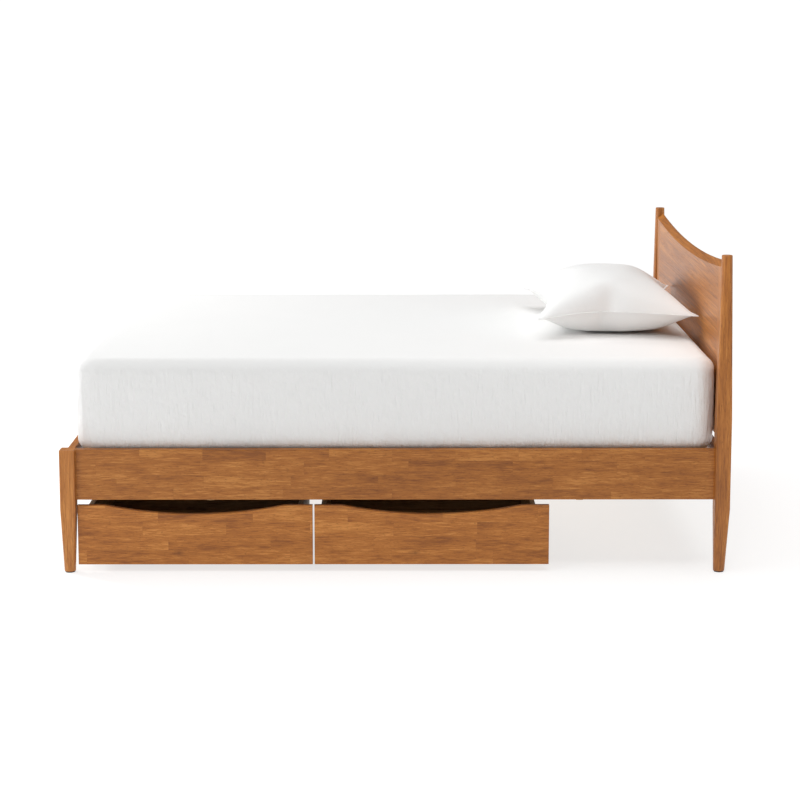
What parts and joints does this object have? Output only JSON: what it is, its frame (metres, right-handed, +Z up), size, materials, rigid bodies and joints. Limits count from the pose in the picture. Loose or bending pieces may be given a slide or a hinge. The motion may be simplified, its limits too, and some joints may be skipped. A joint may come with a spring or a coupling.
{
  "type": "platform bed with storage drawers",
  "caption": "Low platform bed with a hollow-topped panel headboard, tapered posts, slatted base, mattress and pillow, and storage drawers that roll out on casters under one side.",
  "frame": {"origin": "on the floor under the middle of the bed's overall length and width", "axes": "+X towards the headboard, -Y towards the drawer side, +Z up"},
  "size_m": [2.122, 1.624, 1.016],
  "materials": {
    "stained_wood": "satin warm brown stain",
    "drawer_wood": "clear matt lacquer",
    "pine": "planed, unfinished",
    "zinc_steel": "zinc plated",
    "black_steel": "black powder coat",
    "black_plastic": "moulded",
    "wheel_rubber": "matt",
    "white_cotton": "woven percale",
    "ticking": "woven ticking"
  },
  "bodies": {
    "bed_frame": {"beam_hangers": "black_steel", "bracket_bolts": "zinc_steel", "centre_beam": "pine", "centre_leg_1": "pine", "centre_leg_2": "pine", "centre_leg_3": "pine", "cleat_blocks": "pine", "corner_brackets": "black_steel", "fitted_sheet": "white_cotton", "foot_post_left": "stained_wood", "foot_post_right": "stained_wood", "foot_rail": "stained_wood", "head_rail": "stained_wood", "headboard_end_band_left": "stained_wood", "headboard_end_band_right": "stained_wood", "headboard_panel": "stained_wood", "headboard_post_left": "stained_wood", "headboard_post_right": "stained_wood", "leg_glides": "black_plastic", "mattress": "ticking", "pillow": "white_cotton", "side_rail_left": "stained_wood", "side_rail_right": "stained_wood", "slat_01": "pine", "slat_02": "pine", "slat_03": "pine", "slat_04": "pine", "slat_05": "pine", "slat_06": "pine", "slat_07": "pine", "slat_08": "pine", "slat_09": "pine", "slat_10": "pine", "slat_11": "pine", "slat_12": "pine", "slat_cleat_left": "pine", "slat_cleat_right": "pine", "slat_screws": "zinc_steel"},
    "foot_drawer": {"foot_drawer_front": "stained_wood", "foot_drawer_foot_side": "drawer_wood", "foot_drawer_head_side": "drawer_wood", "foot_drawer_back": "drawer_wood", "foot_drawer_bottom": "drawer_wood", "foot_drawer_caster_forks": "zinc_steel", "foot_drawer_caster_axles": "zinc_steel"},
    "head_drawer": {"head_drawer_front": "stained_wood", "head_drawer_foot_side": "drawer_wood", "head_drawer_head_side": "drawer_wood", "head_drawer_back": "drawer_wood", "head_drawer_bottom": "drawer_wood", "head_drawer_caster_forks": "zinc_steel", "head_drawer_caster_axles": "zinc_steel"},
    "foot_drawer_wheel_1": {"foot_drawer_wheel_1": "wheel_rubber"},
    "foot_drawer_wheel_2": {"foot_drawer_wheel_2": "wheel_rubber"},
    "foot_drawer_wheel_3": {"foot_drawer_wheel_3": "wheel_rubber"},
    "foot_drawer_wheel_4": {"foot_drawer_wheel_4": "wheel_rubber"},
    "head_drawer_wheel_1": {"head_drawer_wheel_1": "wheel_rubber"},
    "head_drawer_wheel_2": {"head_drawer_wheel_2": "wheel_rubber"},
    "head_drawer_wheel_3": {"head_drawer_wheel_3": "wheel_rubber"},
    "head_drawer_wheel_4": {"head_drawer_wheel_4": "wheel_rubber"}
  },
  "joints": [
    {"name": "foot_drawer_slide", "type": "slide", "parent": "bed_frame", "child": "foot_drawer", "axis": [0, -1, 0], "range_m": [0, 0.62]},
    {"name": "head_drawer_slide", "type": "slide", "parent": "bed_frame", "child": "head_drawer", "axis": [0, -1, 0], "range_m": [0, 0.62]},
    {"name": "foot_drawer_wheel_1_spin", "type": "hinge", "parent": "foot_drawer", "child": "foot_drawer_wheel_1", "pos_m": [-0.932, -0.665, 0.018], "axis": [1, 0, 0], "continuous": true},
    {"name": "foot_drawer_wheel_2_spin", "type": "hinge", "parent": "foot_drawer", "child": "foot_drawer_wheel_2", "pos_m": [-0.359, -0.665, 0.018], "axis": [1, 0, 0], "continuous": true},
    {"name": "foot_drawer_wheel_3_spin", "type": "hinge", "parent": "foot_drawer", "child": "foot_drawer_wheel_3", "pos_m": [-0.932, -0.25, 0.018], "axis": [1, 0, 0], "continuous": true},
    {"name": "foot_drawer_wheel_4_spin", "type": "hinge", "parent": "foot_drawer", "child": "foot_drawer_wheel_4", "pos_m": [-0.359, -0.25, 0.018], "axis": [1, 0, 0], "continuous": true},
    {"name": "head_drawer_wheel_1_spin", "type": "hinge", "parent": "head_drawer", "child": "head_drawer_wheel_1", "pos_m": [-0.179, -0.665, 0.018], "axis": [1, 0, 0], "continuous": true},
    {"name": "head_drawer_wheel_2_spin", "type": "hinge", "parent": "head_drawer", "child": "head_drawer_wheel_2", "pos_m": [0.394, -0.665, 0.018], "axis": [1, 0, 0], "continuous": true},
    {"name": "head_drawer_wheel_3_spin", "type": "hinge", "parent": "head_drawer", "child": "head_drawer_wheel_3", "pos_m": [-0.179, -0.25, 0.018], "axis": [1, 0, 0], "continuous": true},
    {"name": "head_drawer_wheel_4_spin", "type": "hinge", "parent": "head_drawer", "child": "head_drawer_wheel_4", "pos_m": [0.394, -0.25, 0.018], "axis": [1, 0, 0], "continuous": true}
  ],
  "couplings": [
    {"joint": "foot_drawer_wheel_1_spin", "follows": "foot_drawer_slide", "rad_per_m": 55.556},
    {"joint": "foot_drawer_wheel_2_spin", "follows": "foot_drawer_slide", "rad_per_m": 55.556},
    {"joint": "foot_drawer_wheel_3_spin", "follows": "foot_drawer_slide", "rad_per_m": 55.556},
    {"joint": "foot_drawer_wheel_4_spin", "follows": "foot_drawer_slide", "rad_per_m": 55.556},
    {"joint": "head_drawer_wheel_1_spin", "follows": "head_drawer_slide", "rad_per_m": 55.556},
    {"joint": "head_drawer_wheel_2_spin", "follows": "head_drawer_slide", "rad_per_m": 55.556},
    {"joint": "head_drawer_wheel_3_spin", "follows": "head_drawer_slide", "rad_per_m": 55.556},
    {"joint": "head_drawer_wheel_4_spin", "follows": "head_drawer_slide", "rad_per_m": 55.556}
  ]
}
